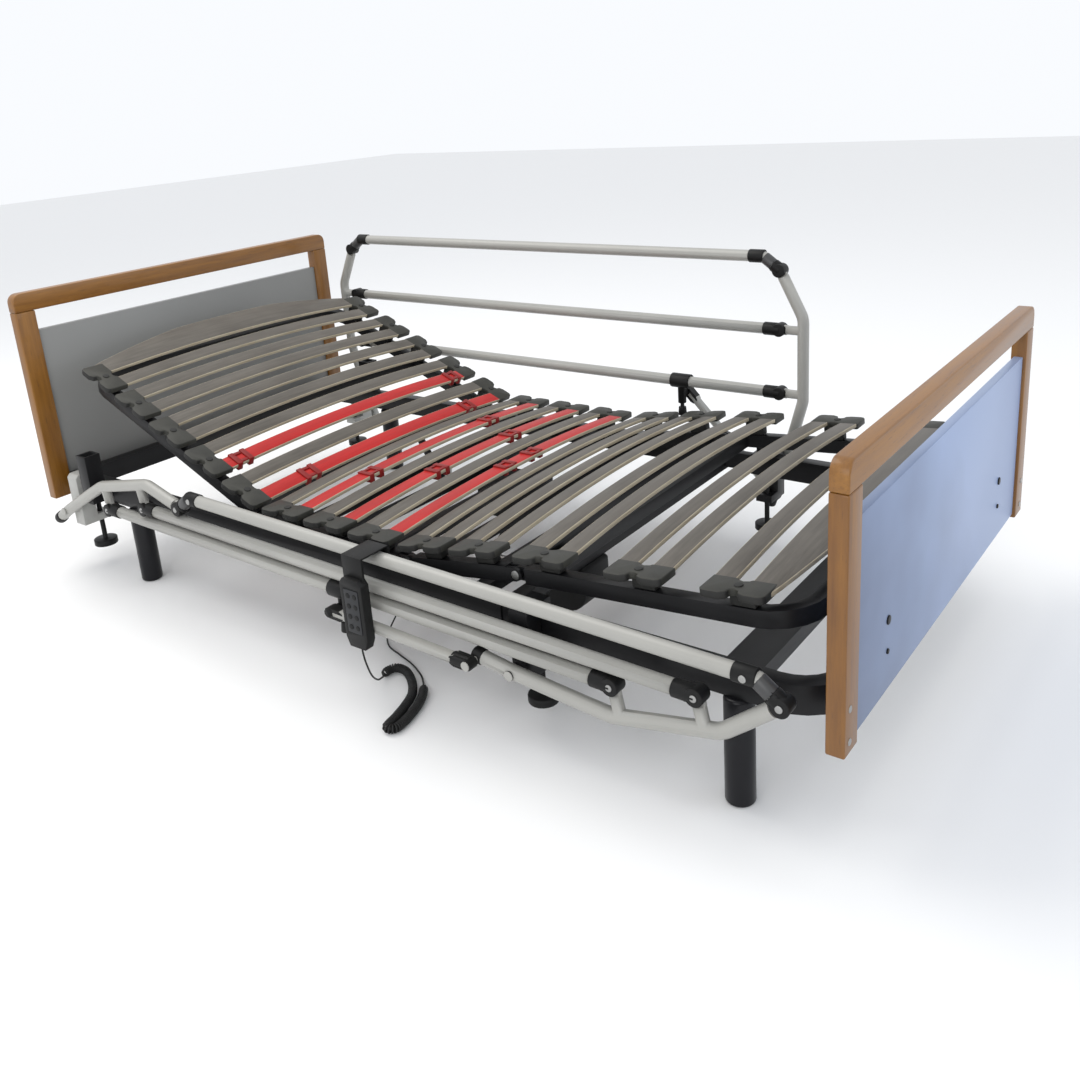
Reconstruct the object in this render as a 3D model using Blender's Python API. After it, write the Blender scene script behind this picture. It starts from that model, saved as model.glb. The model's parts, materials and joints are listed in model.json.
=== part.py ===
"""Adjustable slatted bed with folding side rails, as separate solids.

Metres, +Z up. +X runs from the head to the foot, the origin is on the floor under
the middle of the bed. The back section, the thigh section and the leg section
tilt, each side rail folds down along the bed, and two drives push the sections.
"""
import math

import bmesh
import bpy
from mathutils import Matrix, Vector

GAP = 0.0003                    # between pieces that touch

# ---- end boards
BOARD_WIDTH = 1.000
BOARD_THICK = 0.029
BOARD_OUTER_X = 1.056
BOARD_BOTTOM = 0.185
BOARD_POST = 0.050
BOARD_RAIL = 0.046
BOARD_SLOT = 0.051
HEAD_HEIGHT = 0.531
FOOT_HEIGHT = 0.444
PANEL_THICK = 0.017
PANEL_SETBACK = 0.006
BOARD_CORNER = 0.025

# ---- base frame
BASE_TUBE_W = 0.030
BASE_TUBE_H = 0.050
BASE_OUTER_Y = 0.450
BASE_BOTTOM = 0.194
BASE_END_X = BOARD_OUTER_X - BOARD_THICK - 0.0005
BASE_CORNER = 0.085
SPLIT_HEAD_X = 0.403
SPLIT_FOOT_X = 0.471
SPLICE_W = 0.022
SPLICE_H = 0.040
SPLICE_DEPTH = 0.040
CROSS_H = 0.025
LEG_R = 0.025
HEAD_LEG_X = -0.755
FOOT_LEG_X = 0.863
FOOT_CROSS_X = (0.820, 0.885)
SOCKET = 0.040
SOCKET_WALL = 0.005
SOCKET_X = -0.870
SOCKET_IN = 0.4565
SOCKET_TOP = 0.325

# ---- section frames, flat at the base tubes' height
SECT_W = 0.025
SECT_H = 0.030
SECT_Z = 0.240
SIDE_CLEAR = 0.0025
SECT_Y = BASE_OUTER_Y - BASE_TUBE_W - SIDE_CLEAR - SECT_W / 2
BACK_X = -0.292
THIGH_X = 0.140
THIGH_LEN = 0.280
LEG_LEN = 0.550
BACK_LEN = 0.680
BACK_REST = math.radians(22.75)
THIGH_REST = math.radians(8.5)
KNEE_RATIO = -0.45
HINGE_EYE = 0.013
HINGE_PIN = 0.005
HINGE_ROOT = 0.019

# ---- slats in pairs, each pair between two rubber holders
SLAT_PITCH = 0.066
SLAT_W = 0.038
SLAT_THICK = 0.008
SLAT_V = 0.048
SLAT_CAMBER = 0.022
SLAT_HALF = 0.437
WIDE_SLAT = 0.085
HOLDER_OUT = 0.455
HOLDER_IN = 0.398
HOLDER_THICK = 0.013
HOLDER_LOBE = 0.042
PAIR = 2 * SLAT_PITCH
BACK_START = -0.009
SEAT_START = 0.034
THIGH_START = 0.013

# ---- side rails
RAIL_Y = 0.512
RAIL_R = 0.0135
STUB_R = 0.011
RAIL_SPAN = 1.420
BAR3_D = 0.210
BAR2_D = 0.365
ELBOW_D = 0.505
BULGE = 0.057
LINK = (0.042, 0.031)
FOLD = math.radians(77.5)
FAR_PIVOT = (-0.915, 0.165)
NEAR_PIVOT = (-0.945, 0.177)
NEAR_TILT = math.radians(1.0)
EYE_R = 0.0120
EYE_T = 0.004
FORK_T = 0.0105
RIVET_R = 0.004
JOINT_ROOT = 0.0175

# ---- sliding catch and strut on each lower bar
CATCH_UP = -0.268
CATCH_FOLDED = -0.626
CATCH_DROP = 0.032
CATCH_OUTER = 0.0185
STRUT_FOOT = (-0.025, -0.070)
STRUT_Y = 0.0300
STRUT_R = 0.011
STRUT_PIN = 0.006

# ---- rail clamps
CLAMP_W = 0.040
CLAMP_OUT = 0.490
CLAMP_TOP = 0.262
CLAMP_BOTTOM = 0.128
PIVOT_R = 0.007
SCREW_R = 0.006
KNOB_R = 0.029

# ---- drives
LEVER = 0.100
PIN_R = 0.006
BACK_LEAD = math.radians(34)
THIGH_LEAD = math.radians(16)
ROD_R = 0.010
DRIVE_BOTTOM = 0.092
DRIVE_TOP = BASE_BOTTOM - GAP
DRIVE_W = 0.090
DRIVE_Y = 0.155
DRIVE_SIDE = DRIVE_Y + DRIVE_W / 2

# ---- handset
SET_X = 0.155
SET_W = 0.056
SET_T = 0.020
SET_LOW = 0.138
CORD_R = 0.003
COIL_R = 0.0095


def wipe():
    for ob in list(bpy.data.objects):
        bpy.data.objects.remove(ob, do_unlink=True)


def material(name, colour, rough, metal=0.0):
    mat = bpy.data.materials.new(name)
    mat.use_nodes = True
    shader = mat.node_tree.nodes["Principled BSDF"]
    shader.inputs["Base Color"].default_value = (*colour, 1)
    shader.inputs["Roughness"].default_value = rough
    shader.inputs["Metallic"].default_value = metal
    mat.diffuse_color = (*colour, 1)
    return mat


def solid(bm):
    """A temporary object holding one closed piece."""
    bmesh.ops.recalc_face_normals(bm, faces=bm.faces)
    mesh = bpy.data.meshes.new("piece")
    bm.to_mesh(mesh)
    bm.free()
    ob = bpy.data.objects.new("piece", mesh)
    bpy.context.scene.collection.objects.link(ob)
    return ob


def box(x0, x1, y0, y1, z0, z1):
    bm = bmesh.new()
    bmesh.ops.create_cube(bm, size=1.0)
    for v in bm.verts:
        v.co = Vector(((x0, x1)[v.co.x > 0], (y0, y1)[v.co.y > 0], (z0, z1)[v.co.z > 0]))
    return solid(bm)


def rod(a, b, r, sides=14, r2=None):
    """A round bar or cone from a to b."""
    a = Vector(a)
    b = Vector(b)
    bm = bmesh.new()
    turn = (b - a).to_track_quat("Z", "Y").to_matrix().to_4x4()
    bmesh.ops.create_cone(bm, cap_ends=True, segments=sides, radius1=r,
                          radius2=r if r2 is None else r2, depth=(b - a).length,
                          matrix=Matrix.Translation((a + b) / 2) @ turn)
    return solid(bm)


def prism(outline, low, high, axis="Y"):
    """A flat outline in the plane square to the axis, pulled from low to high."""
    bm = bmesh.new()
    place = {"Y": lambda p, h: (p[0], h, p[1]), "X": lambda p, h: (h, p[0], p[1]),
             "Z": lambda p, h: (p[0], p[1], h)}[axis]
    face = bm.faces.new([bm.verts.new(place(p, low)) for p in outline])
    moved = bmesh.ops.extrude_face_region(bm, geom=[face])["geom"]
    for v in moved:
        if isinstance(v, bmesh.types.BMVert):
            v.co["XYZ".index(axis)] = high
    return solid(bm)


def rounded(points, radius, steps=4):
    """Points of an open path with each inner corner turned into an arc."""
    pts = [Vector(p) for p in points]
    out = [pts[0]]
    for before, at, after in zip(pts, pts[1:], pts[2:]):
        d0 = (before - at).normalized()
        d1 = (after - at).normalized()
        half = d0.angle(d1) / 2
        cut = min(radius / math.tan(half), 0.45 * (before - at).length, 0.45 * (after - at).length)
        r = cut * math.tan(half)
        centre = at + (d0 + d1).normalized() * r / math.sin(half)
        start = at + d0 * cut - centre
        end = at + d1 * cut - centre
        sweep_angle = start.angle(end)
        for i in range(steps + 1):
            t = i / steps
            s = (math.sin((1 - t) * sweep_angle) * start + math.sin(t * sweep_angle) * end)
            out.append(centre + s / math.sin(sweep_angle))
    out.append(pts[-1])
    return out


def sweep(path, profile, normal):
    """A closed bar of the given profile along a flat path; normal is square to the path."""
    normal = Vector(normal)
    pts = [Vector(p) for p in path]
    bm = bmesh.new()
    rings = []
    for i, p in enumerate(pts):
        ahead = (pts[min(i + 1, len(pts) - 1)] - pts[max(i - 1, 0)]).normalized()
        if 0 < i < len(pts) - 1:
            d0 = (p - pts[i - 1]).normalized()
            d1 = (pts[i + 1] - p).normalized()
            ahead = (d0 + d1).normalized()
            stretch = 1 / max(ahead.dot(d1), 0.3)
        else:
            stretch = 1.0
        side = ahead.cross(normal).normalized()
        rings.append([bm.verts.new(p + side * a * stretch + normal * b) for a, b in profile])
    for ring, following in zip(rings, rings[1:]):
        for j in range(len(ring)):
            k = (j + 1) % len(ring)
            bm.faces.new((ring[j], ring[k], following[k], following[j]))
    bm.faces.new(rings[0])
    bm.faces.new(rings[-1])
    return solid(bm)


def circle(r, sides=14):
    return [(r * math.cos(math.tau * (i + 0.5) / sides), r * math.sin(math.tau * (i + 0.5) / sides))
            for i in range(sides)]


def oblong(w, h):
    return [(-w / 2, -h / 2), (w / 2, -h / 2), (w / 2, h / 2), (-w / 2, h / 2)]


def tube(path, r, normal=(0, 1, 0), sides=12):
    return sweep(path, circle(r, sides), normal)


def strap(a, b, half, low, high, steps=4):
    """A flat link in the XZ plane with a round end about each of a and b."""
    a = Vector(a)
    b = Vector(b)
    heading = math.atan2(b.y - a.y, b.x - a.x)
    outline = []
    for centre, start in ((b, heading - math.pi / 2), (a, heading + math.pi / 2)):
        for i in range(steps + 1):
            ang = start + math.pi * i / steps
            outline.append((centre.x + half * math.cos(ang), centre.y + half * math.sin(ang)))
    return prism(outline, low, high)


def fuse(name, pieces, cuts=(), mat=None, place=None):
    """Join pieces into one body, take the cuts out, and name it."""
    first = pieces[0]
    for operation, group in (("UNION", pieces[1:]), ("DIFFERENCE", cuts)):
        for other in group:
            mod = first.modifiers.new("join", "BOOLEAN")
            mod.operation = operation
            mod.object = other
            mod.solver = "EXACT"
    graph = bpy.context.evaluated_depsgraph_get()
    mesh = bpy.data.meshes.new_from_object(first.evaluated_get(graph))
    for ob in [*pieces, *cuts]:
        bpy.data.objects.remove(ob, do_unlink=True)
    bm = bmesh.new()
    bm.from_mesh(mesh)
    bmesh.ops.remove_doubles(bm, verts=bm.verts, dist=0.00002)
    bmesh.ops.dissolve_limit(bm, angle_limit=math.radians(0.2), verts=bm.verts, edges=bm.edges)
    bm.to_mesh(mesh)
    bm.free()
    mesh.name = name
    mesh.materials.clear()
    mesh.materials.append(mat)
    mesh.shade_smooth()
    mesh.set_sharp_from_angle(angle=math.radians(35))
    ob = bpy.data.objects.new(name, mesh)
    bpy.context.scene.collection.objects.link(ob)
    if place is not None:
        ob.matrix_world = place
    return ob


def spin_y(angle, x=0.0, y=0.0, z=0.0):
    """Place at (x, y, z), turned about +Y: a positive turn drops the +X side."""
    return Matrix.Translation((x, y, z)) @ Matrix.Rotation(angle, 4, "Y")


def board(side, height, mats):
    """One end board: a frame open at the bottom, with a panel between its posts."""
    tag = "head" if side < 0 else "foot"
    outer = side * BOARD_OUTER_X
    inner = side * (BOARD_OUTER_X - BOARD_THICK)
    lo, hi = sorted((outer, inner))
    half = BOARD_WIDTH / 2
    top = BOARD_BOTTOM + height
    inset = half - BOARD_POST
    under = top - BOARD_RAIL
    corner = []
    for i in range(5):
        ang = math.pi / 2 * i / 4
        corner.append((half - BOARD_CORNER * (1 - math.cos(ang)), top - BOARD_CORNER * (1 - math.sin(ang))))
    outline = [(inset, BOARD_BOTTOM), (half, BOARD_BOTTOM), *corner]
    outline += [(-y, z) for y, z in reversed(outline)]
    outline += [(-inset, under), (inset, under)]
    fuse(tag + "board_frame", [prism(outline, lo, hi, "X")], mat=mats["wood"])
    p0, p1 = sorted((outer - side * PANEL_SETBACK, outer - side * (PANEL_SETBACK + PANEL_THICK)))
    fuse(tag + "board_panel", [box(p0, p1, GAP - inset, inset - GAP, BOARD_BOTTOM + 0.008,
                                   under - BOARD_SLOT)], mat=mats["panel"])


def base(mats):
    """Two halves joined by a splice block on each side, with the legs under them."""
    mid_y = BASE_OUTER_Y - BASE_TUBE_W / 2
    inner_y = BASE_OUTER_Y - BASE_TUBE_W
    top = BASE_BOTTOM + BASE_TUBE_H
    mid_z = BASE_BOTTOM + BASE_TUBE_H / 2
    side_w = BASE_TUBE_W
    head = [box(-BASE_END_X, 0.03 - BASE_END_X, -inner_y - 0.005, inner_y + 0.005,
                BASE_BOTTOM + 0.001, top - 0.001)]
    for s in (-1, 1):
        y0, y1 = sorted((s * inner_y, s * BASE_OUTER_Y))
        head.append(box(0.0004 - BASE_END_X, SPLIT_HEAD_X, y0, y1, BASE_BOTTOM, top))
        head.append(box(SPLIT_HEAD_X - 0.02, SPLIT_FOOT_X + SPLICE_DEPTH - 0.002,
                        s * mid_y - SPLICE_W / 2, s * mid_y + SPLICE_W / 2,
                        mid_z - SPLICE_H / 2, mid_z + SPLICE_H / 2))
        a0, a1 = sorted((s * (inner_y - 0.02), s * (BASE_OUTER_Y - 0.006)))
        head.append(box(-BASE_END_X - 0.0062, 0.002 - BASE_END_X, a0, a1, mid_z - 0.018, mid_z + 0.018))
        # a square socket for the lifting pole, welded to the outer face
        p0, p1 = sorted((s * SOCKET_IN, s * (SOCKET_IN + SOCKET)))
        head.append(box(SOCKET_X - SOCKET / 2, SOCKET_X + SOCKET / 2, p0, p1, 0.202, SOCKET_TOP))
        p0, p1 = sorted((s * (BASE_OUTER_Y - 0.003), s * (SOCKET_IN + 0.003)))
        head.append(box(SOCKET_X - 0.017, SOCKET_X + 0.017, p0, p1, 0.206, top - 0.004))
    for x in (-0.130, 0.025, 0.300, 0.3875):
        head.append(box(x - 0.015, x + 0.015, -inner_y - 0.004, inner_y + 0.004,
                        BASE_BOTTOM + 0.0002, BASE_BOTTOM + CROSS_H))
    well = SOCKET / 2 - SOCKET_WALL
    middle = SOCKET_IN + SOCKET / 2
    wells = [box(SOCKET_X - well, SOCKET_X + well, s * middle - well, s * middle + well, 0.215, SOCKET_TOP + 0.01)
             for s in (-1, 1)]
    fuse("base_head_half", head, wells, mats["frame"])
    path = rounded([(SPLIT_FOOT_X, -mid_y, mid_z), (BASE_END_X - side_w / 2, -mid_y, mid_z),
                    (BASE_END_X - side_w / 2, mid_y, mid_z), (SPLIT_FOOT_X, mid_y, mid_z)],
                   BASE_CORNER, 6)
    foot = [sweep(path, oblong(side_w, BASE_TUBE_H), (0, 0, 1)),
            box(*FOOT_CROSS_X, -inner_y - 0.006, inner_y + 0.006, BASE_BOTTOM - 0.0001, BASE_BOTTOM + 0.0295)]
    pockets = [box(SPLIT_FOOT_X - 0.01, SPLIT_FOOT_X + SPLICE_DEPTH, s * mid_y - SPLICE_W / 2 - GAP,
                   s * mid_y + SPLICE_W / 2 + GAP, mid_z - SPLICE_H / 2 - GAP, mid_z + SPLICE_H / 2 + GAP)
               for s in (-1, 1)]
    fuse("base_foot_half", foot, pockets, mats["frame"])
    for tag, x in (("head", HEAD_LEG_X), ("foot", FOOT_LEG_X)):
        for word, s in (("near", -1), ("far", 1)):
            foot_pad = rod((x, s * mid_y, 0), (x, s * mid_y, 0.012), LEG_R * 0.8, 20, LEG_R)
            post = rod((x, s * mid_y, 0.011), (x, s * mid_y, BASE_BOTTOM - 0.0001 - GAP), LEG_R, 20)
            fuse(f"leg_{tag}_{word}", [post, foot_pad], mat=mats["leg"])


def eye(at, heading, half, root, thick):
    """A tongue: a round eye about a pin, reaching back along the heading."""
    d = Vector(heading).normalized()
    far = Vector(at) + d * (root + half)
    return strap(at, far, half, -thick, thick)


def fork(at, heading, half, root, inner, outer):
    """Two cheeks about a pin."""
    d = Vector(heading).normalized()
    far = Vector(at) + d * (root + half)
    return [strap(at, far, half, inner, outer), strap(at, far, half, -outer, -inner)]


def pin_y(at, r, low, high, sides=10):
    return rod((at[0], low, at[1]), (at[0], high, at[1]), r, sides)


def hole_y(at, r, low, high, sides=10):
    """A round cutter whose flats clear a pin of radius r at every angle."""
    return pin_y(at, (r + GAP) / math.cos(math.pi / sides), low, high, sides)


def moved(ob, y):
    for v in ob.data.vertices:
        v.co.y += y
    return ob


def hinge_tongue(x, heading, s):
    """The tilting section's eye at a side tube."""
    return moved(eye((x, 0), (heading, 0), HINGE_EYE, HINGE_ROOT, 0.004), s * SECT_Y)


def hinge_fork(x, heading, s):
    parts = fork((x, 0), (heading, 0), HINGE_EYE, HINGE_ROOT, 0.0043, SECT_W / 2 - 0.0004)
    parts.append(pin_y((x, 0), HINGE_PIN, 0.0004 - SECT_W / 2 + 0.001, SECT_W / 2 - 0.0014))
    return [moved(p, s * SECT_Y) for p in parts]


def hinge_hole(x, s):
    return moved(hole_y((x, 0), HINGE_PIN, -0.02, 0.02), s * SECT_Y)


def sections(mats):
    """Seat, back, thigh and leg frames, each drawn flat from its own hinge."""
    half_w = SECT_W / 2
    half_h = SECT_H / 2
    inner = SECT_Y - half_w
    pin_root = HINGE_ROOT + 0.002

    def side_bar(x0, x1, s):
        return box(x0, x1, s * SECT_Y - half_w, s * SECT_Y + half_w, -half_h, half_h)

    def cross(x, h=0.0125):
        return box(x - 0.0125, x + 0.0125, -inner - 0.004, inner + 0.004, -h, h)

    # seat: fixed, its forks hold both hinge pins
    long = THIGH_X - BACK_X
    seat = [cross(0.100), cross(long - 0.080)]
    for s in (-1, 1):
        seat.append(side_bar(pin_root, long - pin_root, s))
        seat += hinge_fork(0, 1, s)
        seat += hinge_fork(long, -1, s)
        for x in (-0.130 - BACK_X, 0.025 - BACK_X):
            seat.append(box(x - 0.012, x + 0.012, s * SECT_Y - 0.011, s * SECT_Y + 0.011,
                            BASE_BOTTOM + CROSS_H + GAP - SECT_Z, 0))
    fuse("seat_frame", seat, mat=mats["frame"], place=spin_y(0, BACK_X, 0, SECT_Z))

    # back: runs to -X from its hinge, with the lever of its drive
    corner = [(-pin_root, -SECT_Y, 0), (-BACK_LEN + half_w, -SECT_Y, 0), (-BACK_LEN + half_w, SECT_Y, 0),
              (-pin_root, SECT_Y, 0)]
    tip = (LEVER * math.sin(BACK_LEAD), -LEVER * math.cos(BACK_LEAD))
    back = [sweep(rounded(corner, 0.07, 5), oblong(SECT_W, SECT_H), (0, 0, 1)), cross(-0.060), cross(-0.330)]
    back += lever((-0.060, 0), tip, 1)
    holes = [hinge_hole(0, s) for s in (-1, 1)]
    back += [hinge_tongue(0, -1, s) for s in (-1, 1)]
    fuse("back_frame", back, holes, mats["frame"], spin_y(BACK_REST, BACK_X, 0, SECT_Z))

    # thigh: from its hinge to the knee
    tip = (-LEVER * math.sin(THIGH_LEAD), -LEVER * math.cos(THIGH_LEAD))
    thigh = [cross(0.060), cross(THIGH_LEN - 0.045)]
    thigh += lever((0.060, 0), tip, -1)
    for s in (-1, 1):
        thigh.append(side_bar(pin_root, THIGH_LEN - pin_root, s))
        thigh.append(hinge_tongue(0, 1, s))
        thigh += hinge_fork(THIGH_LEN, -1, s)
    holes = [hinge_hole(0, s) for s in (-1, 1)]
    fuse("thigh_frame", thigh, holes, mats["frame"], spin_y(-THIGH_REST, THIGH_X, 0, SECT_Z))

    # leg: a loop closed at the foot end
    corner = [(pin_root, -SECT_Y, 0), (LEG_LEN - half_w, -SECT_Y, 0), (LEG_LEN - half_w, SECT_Y, 0),
              (pin_root, SECT_Y, 0)]
    leg = [sweep(rounded(corner, 0.075, 5), oblong(SECT_W, SECT_H), (0, 0, 1)), cross(0.050)]
    leg += [hinge_tongue(0, 1, s) for s in (-1, 1)]
    holes = [hinge_hole(0, s) for s in (-1, 1)]
    fuse("leg_frame", leg, holes, mats["frame"], leg_place())


def lever(root, tip, s):
    """A lever under a section's cross tube, with the pin that a drive rod's eye pushes."""
    y = s * DRIVE_Y
    plate = strap(root, tip, 0.010, y - s * 0.015 - 0.004, y - s * 0.015 + 0.004)
    pin = pin_y(tip, PIN_R, *sorted((y + s * 0.009, y - s * 0.013)))
    head = pin_y(tip, 0.011, *sorted((y + s * 0.0065, y + s * 0.0105)))
    return [plate, pin, head]


def knee():
    return (THIGH_X + THIGH_LEN * math.cos(THIGH_REST), SECT_Z + THIGH_LEN * math.sin(THIGH_REST))


def leg_place():
    x, z = knee()
    return spin_y(-THIGH_REST * (1 + KNEE_RATIO), x, 0, z)


def slat(u, width, end=0):
    """One sprung slat, arched between its ends; a wide one flares towards the middle."""
    bm = bmesh.new()
    rings = []
    steps = 6
    for i in range(steps + 1):
        t = -1 + 2 * i / steps
        lift = SLAT_V + SLAT_CAMBER * (1 - t * t)
        flare = end * (WIDE_SLAT - width) * min(1.0, 1.6 * (1 - abs(t)))
        a, b = sorted((u - math.copysign(width / 2, end or 1), u + math.copysign(width / 2, end or 1) + flare))
        rings.append([bm.verts.new((x, t * SLAT_HALF, lift + dz))
                      for x, dz in ((a, -SLAT_THICK / 2), (b, -SLAT_THICK / 2),
                                    (b, SLAT_THICK / 2), (a, SLAT_THICK / 2))])
    for ring, following in zip(rings, rings[1:]):
        for j in range(4):
            k = (j + 1) % 4
            bm.faces.new((ring[j], ring[k], following[k], following[j]))
    bm.faces.new(rings[0])
    bm.faces.new(rings[-1])
    return solid(bm)


def holder(u, s):
    """A two-lobed rubber holder with an arch between its lobes, on the section's side tube."""
    half = SLAT_PITCH / 2
    lobe = HOLDER_LOBE / 2
    outline = [(u - half - lobe, HOLDER_IN), (u - half - lobe, HOLDER_OUT - 0.008),
               (u - half - lobe + 0.008, HOLDER_OUT), (u - half + lobe * 0.8, HOLDER_OUT),
               (u - 0.008, HOLDER_OUT - 0.022), (u + 0.008, HOLDER_OUT - 0.022),
               (u + half - lobe * 0.8, HOLDER_OUT - 0.004), (u + half + lobe - 0.008, HOLDER_OUT - 0.004),
               (u + half + lobe, HOLDER_OUT - 0.012), (u + half + lobe, HOLDER_IN),
               (u + half - lobe, HOLDER_IN), (u + 0.010, HOLDER_IN + 0.012), (u - 0.010, HOLDER_IN + 0.012),
               (u - half + lobe, HOLDER_IN)]
    outline = [(x, s * y) for x, y in outline]
    low = SLAT_V - HOLDER_THICK / 2 + 0.0006
    plate = prism(outline, low, low + HOLDER_THICK, "Z")
    foot = box(u - 0.022, u + 0.022, s * SECT_Y - 0.011, s * SECT_Y + 0.011, SECT_H / 2 + GAP, low + 0.004)
    return [plate, foot]


def slat_pairs(mats):
    """Thirteen pairs: five on the back, three on the seat, two on the thigh, three on the leg."""
    back_place = spin_y(BACK_REST, BACK_X, 0, SECT_Z)
    seat_place = spin_y(0, BACK_X, 0, SECT_Z)
    thigh_place = spin_y(-THIGH_REST, THIGH_X, 0, SECT_Z)
    number = 1
    rows = []
    for i in range(4, -1, -1):
        rows.append(("back", -(BACK_START + PAIR * (i + 0.5)), back_place, -1 if i == 4 else 0))
    rows += [("seat", SEAT_START + PAIR * (i + 0.5), seat_place, 0) for i in range(3)]
    rows += [("thigh", THIGH_START + PAIR * (i + 0.5), thigh_place, 0) for i in range(2)]
    rows += [("leg", u, leg_place(), 1 if u > 0.4 else 0) for u in (0.079, 0.270, 0.4475)]
    for word, u, place, end in rows:
        pieces = []
        for k in (-1, 1):
            wide = end if k == end else 0
            pieces.append(slat(u + k * SLAT_PITCH / 2, SLAT_W, wide))
        pieces = holder(u, -1) + holder(u, 1) + pieces
        fuse(f"slats_{number:02d}_{word}", pieces, mat=mats["slat"], place=place)
        number += 1


def rail(word, s, pivot, turn, tilt, mats):
    """A folding rail: two posts, three bars, a sliding catch and its strut."""
    y = s * RAIL_Y
    span = Vector((RAIL_SPAN * math.cos(tilt), -RAIL_SPAN * math.sin(tilt)))
    head = Vector(pivot)
    foot = head + span
    angle = turn + tilt

    def spot(d):
        """Where a point d up a post's pivot line has swung to."""
        return Vector((d[0] * math.cos(angle) + d[1] * math.sin(angle),
                       -d[0] * math.sin(angle) + d[1] * math.cos(angle)))

    for tag, at, b, low in (("head", head, -1, (0.0210, -0.058)), ("foot", foot, 1, (-0.0286, -0.080))):
        back_dir = Vector((BULGE * b, 0.395)) - Vector((0, ELBOW_D))
        back_dir.normalize()
        stop = Vector((0, ELBOW_D)) + back_dir * JOINT_ROOT
        path = [(low[0], low[1]), (0, 0), (0.040 * b, 0.134), (BULGE * b, 0.195), (BULGE * b, 0.395),
                (stop.x, stop.y)]
        pieces = [tube([(p.x, 0, p.z) for p in rounded([(x, 0, z) for x, z in path], 0.05, 3)], RAIL_R)]
        cuts = [hole_y((0, 0), PIVOT_R, -0.03, 0.03)]
        pieces.append(eye((0, ELBOW_D), back_dir, EYE_R, JOINT_ROOT - 0.012, EYE_T))
        cuts.append(hole_y((0, ELBOW_D), RIVET_R, -0.02, 0.02))
        for d in (BAR3_D, BAR2_D):
            pieces.append(rod((BULGE * b, 0, d), (JOINT_ROOT * b, 0, d), STUB_R, 10))
            pieces.append(eye((0, d), (b, 0), EYE_R - 0.0008, JOINT_ROOT - 0.012, EYE_T))
            cuts.append(hole_y((0, d), RIVET_R, -0.02, 0.02))
        if tag == "foot":
            out = sorted((s * 0.006, s * (STRUT_Y + STRUT_R + 0.0012)))
            pieces.append(pin_y(STRUT_FOOT, STRUT_PIN, *out))
            pieces.append(pin_y(STRUT_FOOT, 0.009, *sorted((s * (STRUT_Y + STRUT_R + 0.0004),
                                                            s * (STRUT_Y + STRUT_R + 0.0024)))))
        fuse(f"rail_{word}_{tag}_post", pieces, cuts, mats["rail"], spin_y(angle, at.x, y, at.y))

    for tag, d in (("middle_bar", BAR2_D), ("lower_bar", BAR3_D)):
        at = head + spot((0, d))
        pieces = [rod((JOINT_ROOT, 0, 0), (RAIL_SPAN - JOINT_ROOT, 0, 0), RAIL_R, 14)]
        for x, h in ((0, 1), (RAIL_SPAN, -1)):
            pieces += fork((x, 0), (h, 0), EYE_R, JOINT_ROOT - 0.012, EYE_T + GAP, FORK_T)
            pieces.append(pin_y((x, 0), RIVET_R, 0.001 - FORK_T, FORK_T - 0.001))
        fuse(f"rail_{word}_{tag}", pieces, mat=mats["rail"], place=spin_y(tilt, at.x, y, at.y))

    at = head + spot((0, ELBOW_D))
    d = Vector(LINK).normalized()
    start = d * JOINT_ROOT
    path = [(start.x, 0, start.y), (LINK[0], 0, LINK[1]), (RAIL_SPAN - LINK[0], 0, LINK[1]),
            (RAIL_SPAN - start.x, 0, start.y)]
    pieces = [tube(rounded(path, 0.03, 3), RAIL_R)]
    for x, h in ((0, 1), (RAIL_SPAN, -1)):
        pieces += fork((x, 0), (h * d.x, d.y), EYE_R, JOINT_ROOT - 0.012, EYE_T + GAP, FORK_T)
        pieces.append(pin_y((x, 0), RIVET_R, 0.001 - FORK_T, FORK_T - 0.001))
    fuse(f"rail_{word}_top_bar", pieces, mat=mats["rail"], place=spin_y(tilt, at.x, y, at.y))

    # the catch slides along the lower bar
    u = CATCH_FOLDED if turn else CATCH_UP
    bar = head + spot((0, BAR3_D))
    along = Vector((math.cos(tilt), -math.sin(tilt)))
    at = bar + along * (RAIL_SPAN + u)
    sleeve = rod((-0.026, 0, 0), (0.026, 0, 0), CATCH_OUTER, 16)
    barrel = rod((0, 0, -0.012), (0, 0, -0.058), 0.0105, 12)
    low, high = sorted((0.0, s * (STRUT_Y - STRUT_R - 0.0004)))
    boss = pin_y((0, -CATCH_DROP), 0.008, low, high)
    bore = rod((-0.04, 0, 0), (0.04, 0, 0), RAIL_R + 0.0005, 14)
    well = rod((0, 0, -0.046), (0, 0, -0.07), 0.0055, 12)
    fuse(f"rail_{word}_catch", [sleeve, barrel, boss], [bore, well], mats["black"],
         spin_y(tilt, at.x, y, at.y))
    knob = [rod((0, 0, -0.058 - 0.0115), (0, 0, -0.0475), 0.0050, 12),
            rod((0, 0, -0.0690), (0, 0, -0.090), 0.0095, 14, 0.0115)]
    fuse(f"rail_{word}_plunger", knob, mat=mats["black"], place=spin_y(tilt, at.x, y, at.y))

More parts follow.
